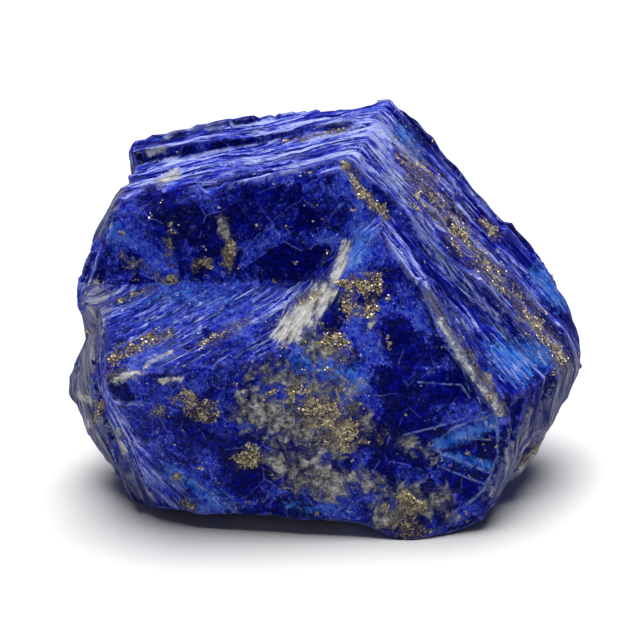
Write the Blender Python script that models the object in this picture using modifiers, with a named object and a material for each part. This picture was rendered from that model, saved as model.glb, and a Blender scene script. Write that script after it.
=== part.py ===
# Rough lapis lazuli: one natural broken stone, a palm-sized hand specimen, in metres with +Z up.
# -Y is the front, and the lowest point of the front is the stone's main foot.
# The stone is built of thin sheets that stand upright and nearly face the front. Across them
# it breaks into long ledges (top, right slope), and along them into flat patches (front, back).
import bpy
import bmesh
import numpy as np
from mathutils import Vector

MM = 0.001

# Driving sizes, in millimetres
VOXEL = 0.34             # cell size of the mesh that carries the relief
FACES_KEPT = 9600        # triangles left after thinning
WEDGE_SIDE = 400.0       # of the big cube that a wedge is cut from

# The relief: how far each kind of step, patch or lump stands out
STEP_RISE = 1.35         # of the thick sheets' broken edges
FINE_STEP_RISE = 0.40    # of the thin sheets' broken edges
LEDGE_SHARE = 0.30       # of those rises on the sloping ledge, which broke smoother
LUMP_RISE = 0.14
THICK_SHEETS = (2.2, 5.5)
THIN_SHEETS = (0.9, 1.9)
FACET_SIZE = 11.0
FACET_SLOPE = 0.10
BACK_STARTS = 12.0       # the back is rougher than the front, from this far behind the middle
BACK_DEPTH = 8.0
FOOT_HEIGHT = 2.0        # below this height the relief fades, for a sound resting spot
LEDGE_BACK = -5.5        # the sloping ledge lies in front of this, left of LEDGE_RIGHT,
LEDGE_RIGHT = 6.0        # below LEDGE_TOP, and where the surface faces up by LEDGE_UPWARD
LEDGE_TOP = 43.0
LEDGE_UPWARD = 0.45

# The sheets stand upright and nearly face the front, and are bent round under the sloping ledge
SHEET_NORMAL = Vector((0.06, -0.985, 0.10)).normalized()
LEDGE_SHEET_NORMAL = Vector((0.46, -0.88, 0.05)).normalized()

for item in list(bpy.data.objects):
    bpy.data.objects.remove(item, do_unlink=True)
for group in list(bpy.data.collections):
    bpy.data.collections.remove(group)

stone_group = bpy.data.collections.new("Rough lapis lazuli")
bpy.context.scene.collection.children.link(stone_group)
cutter_group = bpy.data.collections.new("Cutters")
cutter_group.hide_render = True
bpy.context.scene.collection.children.link(cutter_group)


# Corners of the block, in millimetres. The front ones are where the broken faces meet.
TOP_BACK_LEFT = (-29.6, 13.0, 51.6)
TOP_BACK_MID = (-10.0, 15.5, 54.6)
TOP_BACK_CREST = (3.6, 15.2, 57.4)
TOP_BACK_RIGHT = (10.9, 15.0, 58.3)
TOP_RIGHT_STEP = (12.9, 14.0, 56.0)
TOP_FRONT_RIGHT = (3.5, -6.5, 52.9)
TOP_FRONT_LEFT = (-30.0, -4.2, 46.5)
SHOULDER_HIGH = (-34.6, -3.0, 38.2)
SHOULDER_LOW = (-35.3, -6.0, 34.0)
LEDGE_LEFT = (-29.9, -19.8, 25.6)
LEDGE_FRONT_A = (-20.0, -21.0, 26.7)
LEDGE_FRONT_B = (-10.7, -20.0, 29.6)
LEDGE_FRONT_C = (-4.3, -18.2, 31.7)
LEDGE_FRONT_D = (2.6, -14.5, 36.9)
APEX = (7.6, -9.3, 44.5)
RIDGE_HIGH = (12.5, -11.8, 38.8)
RIDGE_MID = (17.4, -14.2, 32.2)
RIDGE_LOW = (22.3, -16.2, 24.2)
RIDGE_FOOT = (26.6, -17.2, 19.6)
FLANK_TOP = (34.6, -6.6, 20.6)
LEFT_WIDEST = (-39.5, 2.0, 13.8)
LEFT_UPPER = (-38.4, 1.0, 18.6)
LEFT_LOW = (-35.5, -4.0, 8.6)
LEFT_FOOT = (-30.6, -8.5, 4.6)
FOOT_LEFT = (-25.7, -14.0, 1.8)
FOOT_A = (-18.0, -17.6, 2.6)
FOOT_B = (-3.0, -19.8, 3.7)
FOOT_C = (7.4, -20.7, 2.2)
FOOT_FRONT = (14.0, -21.3, -0.2)
FOOT_RIGHT = (22.4, -18.4, 1.2)
FRONT_EDGE = (26.8, -18.0, 9.6)
FLANK_A = (27.2, -14.4, 4.6)
FLANK_B = (32.0, -6.0, 7.2)
FLANK_C = (38.6, 2.0, 13.2)
RIGHT_TIP = (42.0, 6.0, 17.0)
RIM_LOW = (40.2, 13.0, 26.0)
RIM_BULGE = (36.6, 14.0, 30.9)
RIM_MID = (32.6, 15.0, 32.4)
RIM_HIGH = (25.6, 15.5, 39.6)
RIM_TOP = (17.4, 14.6, 46.2)
BACK_CORNERS = [
    (-23.0, 18.5, 44.0),
    (-30.0, 17.0, 28.0),
    (-31.0, 18.0, 13.0),
    (-20.0, 25.5, 9.0),
    (-9.0, 26.0, 42.0),
    (14.0, 25.0, 43.0),
    (28.0, 22.5, 33.0),
    (36.5, 19.0, 22.0),
    (32.0, 20.0, 10.0),
    (10.0, 29.5, 14.0),
    (-4.0, 29.0, 22.0),
]
BASE_CORNERS = [
    (-11.0, -9.0, -0.6),
    (-13.5, 5.0, -0.6),
    (-6.0, 14.0, -0.6),
    (10.0, 16.5, -0.6),
    (18.5, 8.0, -0.6),
    (20.0, -8.0, -0.6),
    (10.0, -19.5, -0.6),
]
BLOCK = [
    TOP_BACK_LEFT, TOP_BACK_MID, TOP_BACK_CREST, TOP_BACK_RIGHT, TOP_RIGHT_STEP,
    TOP_FRONT_RIGHT, TOP_FRONT_LEFT, SHOULDER_HIGH, SHOULDER_LOW, LEDGE_LEFT, LEDGE_FRONT_A,
    LEDGE_FRONT_B, LEDGE_FRONT_C, LEDGE_FRONT_D, APEX, RIDGE_HIGH, RIDGE_MID,
    RIDGE_LOW, RIDGE_FOOT, FLANK_TOP, FRONT_EDGE, LEFT_WIDEST, LEFT_UPPER,
    LEFT_LOW, LEFT_FOOT, FOOT_LEFT, FOOT_A, FOOT_B, FOOT_C, FOOT_FRONT, FOOT_RIGHT,
    FLANK_A, FLANK_B, FLANK_C, RIGHT_TIP, RIM_LOW, RIM_BULGE, RIM_MID, RIM_HIGH,
    RIM_TOP,
] + BACK_CORNERS + BASE_CORNERS


def mesh_object(name, mesh_editor, group):
    mesh = bpy.data.meshes.new(name)
    mesh_editor.to_mesh(mesh)
    mesh_editor.free()
    made = bpy.data.objects.new(name, mesh)
    group.objects.link(made)
    return made


def hull(name, corners, group):
    """The closed convex lump around these corners."""
    editor = bmesh.new()
    for corner in corners:
        editor.verts.new(Vector(corner) * MM)
    bmesh.ops.convex_hull(editor, input=editor.verts)
    inside = [v for v in editor.verts if not v.link_faces]
    bmesh.ops.delete(editor, geom=inside, context="VERTS")
    bmesh.ops.recalc_face_normals(editor, faces=editor.faces)
    return mesh_object(name, editor, group)


def wedge(name, planes, group):
    """What is left of a big cube in front of every plane. A plane is a point and an outward normal."""
    editor = bmesh.new()
    bmesh.ops.create_cube(editor, size=WEDGE_SIDE * MM)
    for point, normal in planes:
        bmesh.ops.bisect_plane(
            editor,
            geom=editor.verts[:] + editor.edges[:] + editor.faces[:],
            plane_co=Vector(point) * MM,
            plane_no=Vector(normal),
            clear_inner=True,
        )
        bmesh.ops.contextual_create(
            editor, geom=[e for e in editor.edges if e.is_boundary]
        )
    bmesh.ops.recalc_face_normals(editor, faces=editor.faces)
    return mesh_object(name, editor, group)


def plane_of(a, b, c, outward):
    """The plane through three corners, turned to the side of the outward hint."""
    normal = (Vector(b) - Vector(a)).cross(Vector(c) - Vector(a)).normalized()
    if normal.dot(Vector(outward)) < 0:
        normal = -normal
    return (Vector(a), normal)


def freeze(item):
    """Turns the object's modifiers into plain mesh."""
    bpy.context.view_layer.update()
    graph = bpy.context.evaluated_depsgraph_get()
    made = bpy.data.meshes.new_from_object(item.evaluated_get(graph))
    old = item.data
    item.modifiers.clear()
    item.data = made
    bpy.data.meshes.remove(old)


def combine(item, other, operation):
    step = item.modifiers.new(operation.title(), "BOOLEAN")
    step.operation = operation
    step.solver = "EXACT"
    step.object = other
    other.hide_render = True
    other.display_type = "WIRE"
    freeze(item)


stone = hull("lapis_lazuli", BLOCK, stone_group)

# The great notch: the upper front face above, and the sloping ledge below, in two planes
CREASE_LEFT = (-36.2, -7.2, 34.9)
CREASE_MID = (-2.9, -8.8, 36.0)
upper_front = plane_of(CREASE_LEFT, CREASE_MID, TOP_FRONT_RIGHT, (0, -1, 0))
ledge_main = plane_of(CREASE_LEFT, CREASE_MID, LEDGE_FRONT_A, (0, 0, 1))
ledge_rise = plane_of(CREASE_MID, APEX, LEDGE_FRONT_C, (0, 0, 1))
notch = wedge("notch", [upper_front, ledge_main, ledge_rise], cutter_group)
combine(stone, notch, "DIFFERENCE")

# The flake: a thin sheet that stands proud along the ridge right of the lower front
flake = hull(
    "flake",
    [
        (13.6, -12.8, 38.6), (14.8, -13.6, 37.6), (15.2, -10.5, 37.5),
        (18.2, -16.6, 30.2), (20.4, -16.4, 29.2), (20.6, -12.0, 30.0),
        (22.0, -18.4, 24.2), (25.2, -18.2, 22.4), (25.0, -13.0, 23.5),
        (25.2, -19.0, 19.6), (27.2, -18.6, 18.8), (27.8, -13.0, 19.2),
        (24.4, -17.4, 17.8), (26.2, -15.0, 16.4),
    ],
    cutter_group,
)
combine(stone, flake, "UNION")

# Long break faces that take off a corner, each in front of two or more planes
BREAKS = {
    # the step along the top: a taller sheet stands behind, the tread lies in front
    "top_step": [
        plane_of((-27.4, 10.9, 50.0), (5.0, 7.8, 55.0), (-12.0, 9.6, 45.0), (0, -1, 0)),
        plane_of(TOP_FRONT_LEFT, TOP_FRONT_RIGHT, (-15.0, 9.9, 51.5), (0, 0, 1)),
    ],
    # the fan of facets at the lower right of the front, falling away to the right edge
    "fan": [
        plane_of((15.6, -19.3, 15.6), (22.0, -19.6, 4.6), (26.6, -16.2, 14.0), (1, -1, 0)),
        plane_of((15.6, -19.3, 15.6), (25.0, -18.6, 19.6), (20.0, -8.0, 17.6), (0, 0, -1)),
    ],
    # the bevel down the left side of the lower front
    "left_bevel": [
        plane_of((-22.0, -20.6, 23.5), (-20.0, -18.0, 4.0), (-29.0, -16.8, 13.0), (-1, -1, 0)),
        plane_of((-24.0, -22.0, 23.0), (-32.0, -17.0, 21.0), (-27.0, -8.0, 22.5), (0, 0, -1)),
    ],
    # the shelf across the back: a steep wall above, a sloping tread below
    "back_shelf": [
        plane_of((-30.0, 19.6, 38.0), (22.0, 20.4, 40.0), (0.0, 22.6, 24.0), (0, 1, 0)),
        plane_of((-30.0, 22.0, 24.0), (24.0, 22.0, 28.6), (0.0, 30.0, 21.0), (0, 0, 1)),
    ],
    # a slanting break across the lower right of the back
    "back_corner": [
        plane_of((8.0, 29.0, 6.0), (21.0, 26.0, 27.0), (34.0, 15.0, 12.0), (1, 1, 0)),
        plane_of((21.0, 26.0, 27.0), (38.0, 18.0, 21.0), (20.0, 10.0, 26.0), (0, 0, -1)),
    ],
}
for name, planes in BREAKS.items():
    combine(stone, wedge(name, planes, cutter_group), "DIFFERENCE")

# Chips out of the block: each is a convex lump taken away
CHIPS = {
    # the bite in the left outline between the shoulder and the widest point
    "left_bite": [
        (-46.0, -22.0, 32.5), (-46.0, 26.0, 32.5), (-35.6, -22.0, 32.6), (-35.8, 26.0, 32.6),
        (-34.0, -18.0, 26.4), (-34.7, 20.0, 26.6), (-46.0, -22.0, 15.5), (-46.0, 26.0, 15.5),
        (-38.0, -12.0, 17.6), (-39.0, 14.0, 17.6),
    ],
    # the underside drawn up behind the left half of the front's lower edge
    "under_bite": [
        (-28.0, -27.0, 2.6), (-3.0, -27.0, 5.4), (4.0, -27.0, 4.6), (12.5, -27.0, 0.4),
        (-22.0, -3.0, -0.4), (9.0, -11.0, -0.4), (-28.0, -27.0, -5.0),
        (12.5, -27.0, -5.0), (-22.0, -3.0, -5.0), (9.0, -11.0, -5.0),
    ],
    # the step at the upper left end
    "upper_left_step": [
        (-44.0, 1.0, 54.0), (-44.0, 26.0, 54.0), (-44.0, 0.0, 34.0), (-44.0, 26.0, 34.0),
        (-30.3, 5.5, 54.0), (-30.2, 26.0, 54.0), (-29.4, 2.5, 46.4), (-28.6, 26.0, 46.0),
        (-36.0, 0.5, 36.0), (-35.0, 26.0, 34.0),
    ],
    # the dark recess right of the flake's foot, between the front edge and the right flank
    "flank_recess": [
        (27.6, -20.0, 20.0), (34.0, -20.0, 20.0), (27.7, -20.0, 9.0), (33.5, -20.0, 13.0),
        (28.0, -13.2, 18.6), (30.4, -11.4, 19.0), (28.0, -14.0, 12.6),
    ],
}
for name, corners in CHIPS.items():
    combine(stone, hull(name, corners, cutter_group), "DIFFERENCE")


# Relief: the noise and step functions work in millimetres

def lattice(ix, iy, iz, seed):
    """A repeatable number from 0 to 1 for each whole-numbered point."""
    h = (
        ix.astype(np.uint64) * np.uint64(73856093)
        ^ iy.astype(np.uint64) * np.uint64(19349663)
        ^ iz.astype(np.uint64) * np.uint64(83492791)
        ^ np.uint64(seed * 2654435761 % 4294967296)
    )
    h = (h ^ (h >> np.uint64(13))) * np.uint64(1274126177) & np.uint64(0xFFFFFFFF)
    h = (h ^ (h >> np.uint64(16))) * np.uint64(2246822519) & np.uint64(0xFFFFFFFF)
    return ((h ^ (h >> np.uint64(13))) & np.uint64(0xFFFFFF)).astype(float) / 16777216.0


def ripple(points, size, seed):
    """Smooth noise from -1 to 1 with bumps about this size."""
    q = points / size + 1000.0
    low = np.floor(q)
    t = q - low
    t = t * t * (3 - 2 * t)
    low = low.astype(np.int64)
    total = 0.0
    for dx in (0, 1):
        for dy in (0, 1):
            for dz in (0, 1):
                weight = (
                    np.where(dx, t[:, 0], 1 - t[:, 0])
                    * np.where(dy, t[:, 1], 1 - t[:, 1])
                    * np.where(dz, t[:, 2], 1 - t[:, 2])
                )
                total = total + weight * lattice(
                    low[:, 0] + dx, low[:, 1] + dy, low[:, 2] + dz, seed
                )
    return total * 2 - 1


def ledges(depth, along, thicknesses, seed):
    """Saw-toothed steps across the sheets: each sheet has its own thickness, rise and level."""
    rng = np.random.default_rng(seed)
    bounds = np.cumsum(rng.uniform(*thicknesses, 200)) - 60.0
    index = np.clip(np.searchsorted(bounds, depth), 1, len(bounds) - 1)
    low = bounds[index - 1]
    share = (depth - low) / (bounds[index] - low)
    slope = rng.uniform(0.35, 1.0, len(bounds))[index]
    level = rng.uniform(-0.5, 0.5, len(bounds))[index]
    wander = ripple(
        np.column_stack([along[:, 0] / 11.0, along[:, 1] / 11.0, index * 3.7]), 1.0, seed
    )
    return (slope * (share - 0.5) + level) * (1.0 + 0.55 * wander) + 0.25 * wander


def terraces(along, levels, seed):
    """Flat patches at different levels, with ragged outlines longer across than they are high."""
    wide = np.column_stack([along[:, 0] / 17.0, along[:, 1] / 10.0, np.full(len(along), 0.5)])
    ragged = ripple(wide, 1.0, seed) + 0.45 * ripple(wide * 2.7, 1.0, seed + 1)
    ragged = ragged + 0.18 * ripple(wide * 7.0, 1.0, seed + 2)
    return np.floor(ragged * levels) / levels


def facets(points, size, tilt, seed):
    """Small tilted break faces: each point takes the height of its nearest cell's plane."""
    rng = np.random.default_rng(seed)
    low = points.min(axis=0) - size
    high = points.max(axis=0) + size
    count = int(np.prod((high - low) / size))
    hearts = rng.uniform(low, high, (count, 3))
    slopes = rng.normal(0.0, tilt, (count, 3))
    best = np.full(len(points), 1e9)
    height = np.zeros(len(points))
    for heart, slope in zip(hearts, slopes):
        away = points - heart
        near = (away ** 2).sum(axis=1)
        closer = near < best
        best[closer] = near[closer]
        height[closer] = (away[closer] * slope).sum(axis=1)
    return height


def remesh(item):
    """Fills the object with an even grid of small faces."""
    step = item.modifiers.new("Grain", "REMESH")
    step.mode = "VOXEL"
    step.voxel_size = VOXEL * MM
    step.adaptivity = 0.0
    freeze(item)


def read_vectors(mesh, name):
    values = np.empty(len(mesh.vertices) * 3)
    mesh.vertices.foreach_get(name, values)
    return values.reshape(-1, 3)


def relief(points, normals):
    """How far each point moves: sheet edges across the sheets, patches and lumps along them."""
    sheet = np.array(SHEET_NORMAL)
    side = np.cross(sheet, (0.0, 0.0, 1.0))
    side = side / np.linalg.norm(side)
    upward = np.cross(side, sheet)
    # On the sloping ledge the sheets are bent round, so their broken edges climb to the right
    on_ledge = (
        (normals[:, 2] > LEDGE_UPWARD)
        & (points[:, 1] < LEDGE_BACK)
        & (points[:, 0] < LEDGE_RIGHT)
        & (points[:, 2] < LEDGE_TOP)
    )
    depth = np.where(on_ledge, points @ np.array(LEDGE_SHEET_NORMAL) + 20.0, points @ sheet)
    depth = depth + 1.3 * ripple(points, 26.0, 3) + 0.5 * ripple(points, 9.0, 4)
    along = np.column_stack([points @ side, points @ upward])

    thick_steps = ledges(depth, along, THICK_SHEETS, 11)
    thin_steps = ledges(depth + 0.3 * ripple(points, 5.0, 6), along, THIN_SHEETS, 12)
    patches = terraces(along, 2.2, 27)
    broken = facets(points, FACET_SIZE, FACET_SLOPE, 31)
    lumps = ripple(points, 7.0, 41) + 0.5 * ripple(points, 3.2, 42)

    across = np.clip((0.93 - np.abs(normals @ sheet)) / 0.35, 0.0, 1.0)
    front = np.clip((-normals[:, 1] - 0.3) / 0.4, 0.0, 1.0)
    hidden = np.clip((points[:, 1] - BACK_STARTS) / BACK_DEPTH, 0.0, 1.0)
    rough = 0.15 + 0.45 * hidden + 0.15 * (1.0 - front)
    patch_rise = (1.0 - across) * (0.25 + 0.60 * hidden)
    sideways = normals - np.outer(normals @ sheet, sheet)
    sideways = sideways / np.maximum(np.linalg.norm(sideways, axis=1, keepdims=True), 1e-6)

    edges = across * (STEP_RISE * thick_steps + FINE_STEP_RISE * thin_steps)
    edges = edges * np.where(on_ledge, LEDGE_SHARE, 1.0)
    swell = patch_rise * patches + rough * broken + LUMP_RISE * lumps
    sound_foot = np.clip(points[:, 2] / FOOT_HEIGHT, 0.0, 1.0)
    return (sideways * edges[:, None] + normals * swell[:, None]) * sound_foot[:, None]


remesh(stone)
grid = read_vectors(stone.data, "co") / MM
grid = grid + relief(grid, read_vectors(stone.data, "normal"))
stone.data.vertices.foreach_set("co", (grid * MM).reshape(-1))
stone.data.update()
remesh(stone)

thin = stone.modifiers.new("Thin", "DECIMATE")
thin.decimate_type = "COLLAPSE"
thin.ratio = FACES_KEPT / sum(len(p.vertices) - 2 for p in stone.data.polygons)
freeze(stone)

# The flat spot the stone rests on
slab = wedge("rest_slab", [((0.0, 0.0, 0.0), (0.0, 0.0, -1.0))], cutter_group)
combine(stone, slab, "DIFFERENCE")

# The origin goes to the middle of the footprint, at the height of the flat spot
corners = read_vectors(stone.data, "co")
middle = (corners.min(axis=0) + corners.max(axis=0)) / 2
middle[2] = 0.0
stone.data.vertices.foreach_set("co", (corners - middle).reshape(-1))
stone.data.update()

lapis = bpy.data.materials.new("Lapis blue")
lapis.use_nodes = True
surface = lapis.node_tree.nodes["Principled BSDF"]
surface.inputs["Base Color"].default_value = (0.02, 0.05, 0.42, 1.0)
surface.inputs["Roughness"].default_value = 0.5
stone.data.materials.clear()
stone.data.materials.append(lapis)
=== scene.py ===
import math

import bmesh
import bpy
import numpy as np
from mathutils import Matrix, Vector


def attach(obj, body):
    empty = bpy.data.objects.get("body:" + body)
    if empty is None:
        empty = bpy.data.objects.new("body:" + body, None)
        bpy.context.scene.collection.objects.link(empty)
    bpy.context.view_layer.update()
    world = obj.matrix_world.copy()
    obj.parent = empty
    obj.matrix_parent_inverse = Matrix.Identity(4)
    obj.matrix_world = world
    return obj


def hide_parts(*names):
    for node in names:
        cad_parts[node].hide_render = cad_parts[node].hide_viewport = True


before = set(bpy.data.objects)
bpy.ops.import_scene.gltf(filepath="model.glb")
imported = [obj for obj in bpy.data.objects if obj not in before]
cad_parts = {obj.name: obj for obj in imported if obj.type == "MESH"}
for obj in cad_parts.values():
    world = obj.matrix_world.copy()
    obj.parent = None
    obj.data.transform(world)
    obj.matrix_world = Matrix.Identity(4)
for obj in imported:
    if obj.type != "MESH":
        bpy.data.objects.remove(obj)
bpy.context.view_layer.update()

# Sizes are in millimetres unless a name says otherwise. The stone's own frame has its origin in
# the middle of the footprint; the photograph's frame, used to place markings, is shifted a little.
MM = 0.001
SHIFT = np.array([0.94, 4.23, 0.0])          # own frame + SHIFT = photograph's frame
EYE = np.array([0.0, -257.0, 120.5])         # the photograph's viewpoint
AIM = np.array([0.0, 0.0, 27.0])
LENS, SENSOR, PICTURE = 100.0, 36.0, 640.0
PIXEL = 0.154                                # a photograph's pixel at the stone
UP = (0.0, 0.0, 1.0)

# The fine mesh: its longest edges, and how far it is smoothed before the relief is added
FRONT_EDGE, BACK_EDGE, SEAM_EDGE = 0.58, 1.05, 0.26
SEAM_REACH = 3.5                             # pixels round a seam that are cut finest
MOST_CUTS = 9
SHARP_DEGREES = 24.0
RELAX_ROUNDS = 3
SPIKE_LIMITS = [(18, 0.75), (6, 0.42)]       # rounds of blur, and how far a corner may stand off it
THIN_FIN = np.array([37.9, 15.5, 29.4])      # a fin on the rim, thinner than a sheet, worn flat
FIN_CORE, FIN_REACH, FIN_ROUNDS = 2.0, 3.8, 36
BROAD_ROUNDS = 4                             # rounds that leave only a face's general direction
CORNER_ROUNDS = 6                            # rounds that leave out the corners and creases

# The stone's sheets: their normal over most of the block, and where they bend under the ledge
SHEET_NORMAL = np.array(Vector((0.06, -0.985, 0.10)).normalized())
LEDGE_NORMAL = np.array(Vector((0.46, -0.88, 0.05)).normalized())
LEDGE_OFFSET = 20.0
LEDGE_BACK, LEDGE_RIGHT, LEDGE_TOP = (-7.5, -5.5), (5.0, 8.0), (42.0, 45.0)
SLOPE_POCKET = [(436, 250), (472, 292), (502, 335)]   # a flat hollow of the right slope, in pixels
POCKET_REACH = 38.0
POCKET_STREAKS = 0.85
FLAKE = np.array([(428.0, 292.0), (502.0, 412.0)])    # the flake along the ridge, in pixels
FLAKE_REACH = 13.0
CREAM_BAND = [(288, 332), (346, 242)]                 # the cream band, in pixels
BAND_REACH = 40.0
BAND_RUN, BAND_SIDE = np.array([0.42, 0.60, 0.68]), np.array([0.82, -0.57, 0.0])

# Heights of the fine relief
THIN_STEP, HAIR_STEP = 0.20, 0.09
THIN_SHEETS, HAIR_SHEETS = (0.55, 1.3), (0.3, 0.6)    # how thick those sheets are, from and to
LUMP, GRIT, SEAM_GROOVE = 0.05, 0.03, 0.07
FLOOR_CLEAR = (0.3, 2.0)                     # no relief under the first height, all above the second
MORE_LUMPS = {"calcite": 0.05, "pyrite": 0.05, "cream": 0.04}
CORNER_HEIGHT = 0.35                         # how proud a corner stands that gets the full painted highlight


# Repeatable noise, for shapes

ABOVE_ZERO = 1000.0                          # keeps the lattice's numbers positive


def lattice(ix, iy, iz, seed):
    """A repeatable number from 0 to 1 for each whole-numbered point; large primes mix its bits."""
    h = (
        ix.astype(np.uint64) * np.uint64(73856093)
        ^ iy.astype(np.uint64) * np.uint64(19349663)
        ^ iz.astype(np.uint64) * np.uint64(83492791)
        ^ np.uint64(seed * 2654435761 % 4294967296)
    )
    h = (h ^ (h >> np.uint64(13))) * np.uint64(1274126177) & np.uint64(0xFFFFFFFF)
    h = (h ^ (h >> np.uint64(16))) * np.uint64(2246822519) & np.uint64(0xFFFFFFFF)
    return ((h ^ (h >> np.uint64(13))) & np.uint64(0xFFFFFF)).astype(float) / 16777216.0


def ripple(points, size, seed):
    """Smooth noise from -1 to 1 with bumps about this size."""
    q = points / size + ABOVE_ZERO
    low = np.floor(q)
    t = q - low
    t = t * t * (3 - 2 * t)
    low = low.astype(np.int64)
    total = 0.0
    for dx in (0, 1):
        for dy in (0, 1):
            for dz in (0, 1):
                weight = (
                    np.where(dx, t[:, 0], 1 - t[:, 0])
                    * np.where(dy, t[:, 1], 1 - t[:, 1])
                    * np.where(dz, t[:, 2], 1 - t[:, 2])
                )
                total = total + weight * lattice(
                    low[:, 0] + dx, low[:, 1] + dy, low[:, 2] + dz, seed
                )
    return total * 2 - 1


def soft_step(value, low, high):
    t = np.clip((value - low) / (high - low), 0.0, 1.0)
    return t * t * (3 - 2 * t)


# The stone's fine mesh

def fine_copy(node, name):
    """The CAD stone's mesh, welded and cut finer, with its sharp edges marked."""
    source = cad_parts[node]
    work = bmesh.new()
    work.from_mesh(source.data)
    work.transform(source.matrix_world)
    bmesh.ops.remove_doubles(work, verts=work.verts, dist=1e-6)
    bmesh.ops.triangulate(work, faces=work.faces)
    limit = math.radians(SHARP_DEGREES)
    for edge in work.edges:
        edge.smooth = edge.calc_face_angle(math.pi) < limit
    for _ in range(MOST_CUTS):
        work.normal_update()
        wanted = wanted_length(
            np.array([v.co for v in work.verts]) / MM, np.array([v.normal for v in work.verts])
        ) * MM
        work.verts.index_update()
        long_edges = [
            e for e in work.edges
            if e.calc_length() > min(wanted[e.verts[0].index], wanted[e.verts[1].index])
        ]
        if not long_edges:
            break
        bmesh.ops.subdivide_edges(work, edges=long_edges, cuts=1)
        bmesh.ops.triangulate(work, faces=[f for f in work.faces if len(f.verts) > 3])
    mesh = bpy.data.meshes.new(name)
    work.to_mesh(mesh)
    work.free()
    piece = bpy.data.objects.new(name, mesh)
    bpy.context.scene.collection.objects.link(piece)
    return piece


def read_points(mesh):
    flat = np.empty(len(mesh.vertices) * 3)
    mesh.vertices.foreach_get("co", flat)
    return flat.reshape(-1, 3) / MM


def read_normals(mesh):
    flat = np.empty(len(mesh.vertices) * 3)
    mesh.vertices.foreach_get("normal", flat)
    return flat.reshape(-1, 3)


def write_points(mesh, points):
    mesh.vertices.foreach_set("co", (points * MM).reshape(-1))
    mesh.update()


def edge_table(mesh):
    ends = np.empty(len(mesh.edges) * 2, np.int64)
    mesh.edges.foreach_get("vertices", ends)
    sharp = np.array([e.use_edge_sharp for e in mesh.edges])
    return ends.reshape(-1, 2), sharp


def neighbour_mean(values, ends, weight):
    """Each vertex's mean over its neighbours, by the weight of each edge."""
    count = len(values)
    here, there = ends.reshape(-1), ends[:, ::-1].reshape(-1)
    weight = np.repeat(weight, 2)
    share = np.bincount(here, weight, count)
    total = np.column_stack([
        np.bincount(here, values[there, k] * weight, count) for k in range(values.shape[1])
    ])
    return total / np.maximum(share, 1e-9)[:, None]


def relax(points, ends, sharp, rounds):
    """Rounds off the shallow facets, and lets points on a sharp edge slide only along it."""
    weight = np.ones(len(ends))
    on_edge = np.bincount(ends[sharp].reshape(-1), minlength=len(points))
    for _ in range(rounds):
        mean = neighbour_mean(points, ends, weight)
        along = neighbour_mean(points, ends, sharp.astype(float))
        new = points + 0.5 * (mean - points)
        new = np.where((on_edge == 2)[:, None], points + 0.35 * (along - points), new)
        points = np.where((on_edge == 1)[:, None] | (on_edge > 2)[:, None], points, new)
    return points


def wanted_length(points, normals):
    """How long the fine mesh's edges may be: shortest along the seams, longest on the back."""
    seen = seen_share(points, normals)
    length = BACK_EDGE + (FRONT_EDGE - BACK_EDGE) * seen
    places = pixels_of(points)
    for path, _ in SEAMS:
        near = (stroke(places, path, SEAM_REACH) > 0.0) & (seen > 0.5)
        length[near] = SEAM_EDGE
    return length


def despike(points, ends):
    """Draws in thin spikes and fins."""
    for rounds, limit in SPIKE_LIMITS:
        blur = smooth_field(points, ends, rounds)
        away = points - blur
        reach = np.linalg.norm(away, axis=1, keepdims=True)
        points = blur + away * np.minimum(1.0, limit / np.maximum(reach, 1e-9))
    return points


def smooth_field(field, ends, rounds):
    weight = np.ones(len(ends))
    for _ in range(rounds):
        mean = neighbour_mean(field, ends, weight)
        field = 0.5 * (field + mean)
    return field


MOST_SHEETS, FIRST_SHEET = 400, -60.0        # how many there are, and where the first one lies


def ledges(depth, along, thin, thick, seed):
    """Saw-toothed steps across the sheets, as in the solid, but finer."""
    rng = np.random.default_rng(seed)
    bounds = np.cumsum(rng.uniform(thin, thick, MOST_SHEETS)) + FIRST_SHEET
    index = np.clip(np.searchsorted(bounds, depth), 1, len(bounds) - 1)
    share = (depth - bounds[index - 1]) / (bounds[index] - bounds[index - 1])
    rise = rng.uniform(0.2, 1.0, len(bounds))[index]
    level = rng.uniform(-0.5, 0.5, len(bounds))[index]
    wander = ripple(
        np.column_stack([along[:, 0] / 6.0, along[:, 1] / 6.0, index * 3.7]), 1.0, seed
    )
    return (rise * (share - 0.5) + 0.7 * level) * (1.0 + 0.8 * wander)


# Places on the stone, as the photograph shows them

def pixels_of(points):
    """Where each point falls in the photograph."""
    forward = (AIM - EYE) / np.linalg.norm(AIM - EYE)
    right = np.cross(forward, UP)
    right = right / np.linalg.norm(right)
    up = np.cross(right, forward)
    away = points + SHIFT - EYE
    reach = away @ forward
    scale = LENS / SENSOR * PICTURE
    u = PICTURE / 2 + scale * (away @ right) / reach
    v = PICTURE / 2 - scale * (away @ up) / reach
    return np.column_stack([u, v])


def seen_share(points, normals):
    """1 where a face looks at the photograph's viewpoint, 0 where it looks away."""
    away = EYE - (points + SHIFT)
    away = away / np.linalg.norm(away, axis=1, keepdims=True)
    return soft_step((normals * away).sum(axis=1), 0.02, 0.2)


def stroke(places, path, width):
    """1 on a path in the photograph, falling to 0 at this many pixels from it."""
    path = np.array(path, float).reshape(-1, 2)
    if len(path) == 1:
        path = np.vstack([path, path])
    near = np.full(len(places), 1e9)
    for a, b in zip(path[:-1], path[1:]):
        run = b - a
        t = ((places - a) @ run) / max(run @ run, 1e-9)
        t = np.clip(t, 0.0, 1.0)
        gap = places - (a + t[:, None] * run)
        near = np.minimum(near, np.hypot(gap[:, 0], gap[:, 1]))
    return np.clip(1.0 - near / width, 0.0, 1.0)


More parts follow.
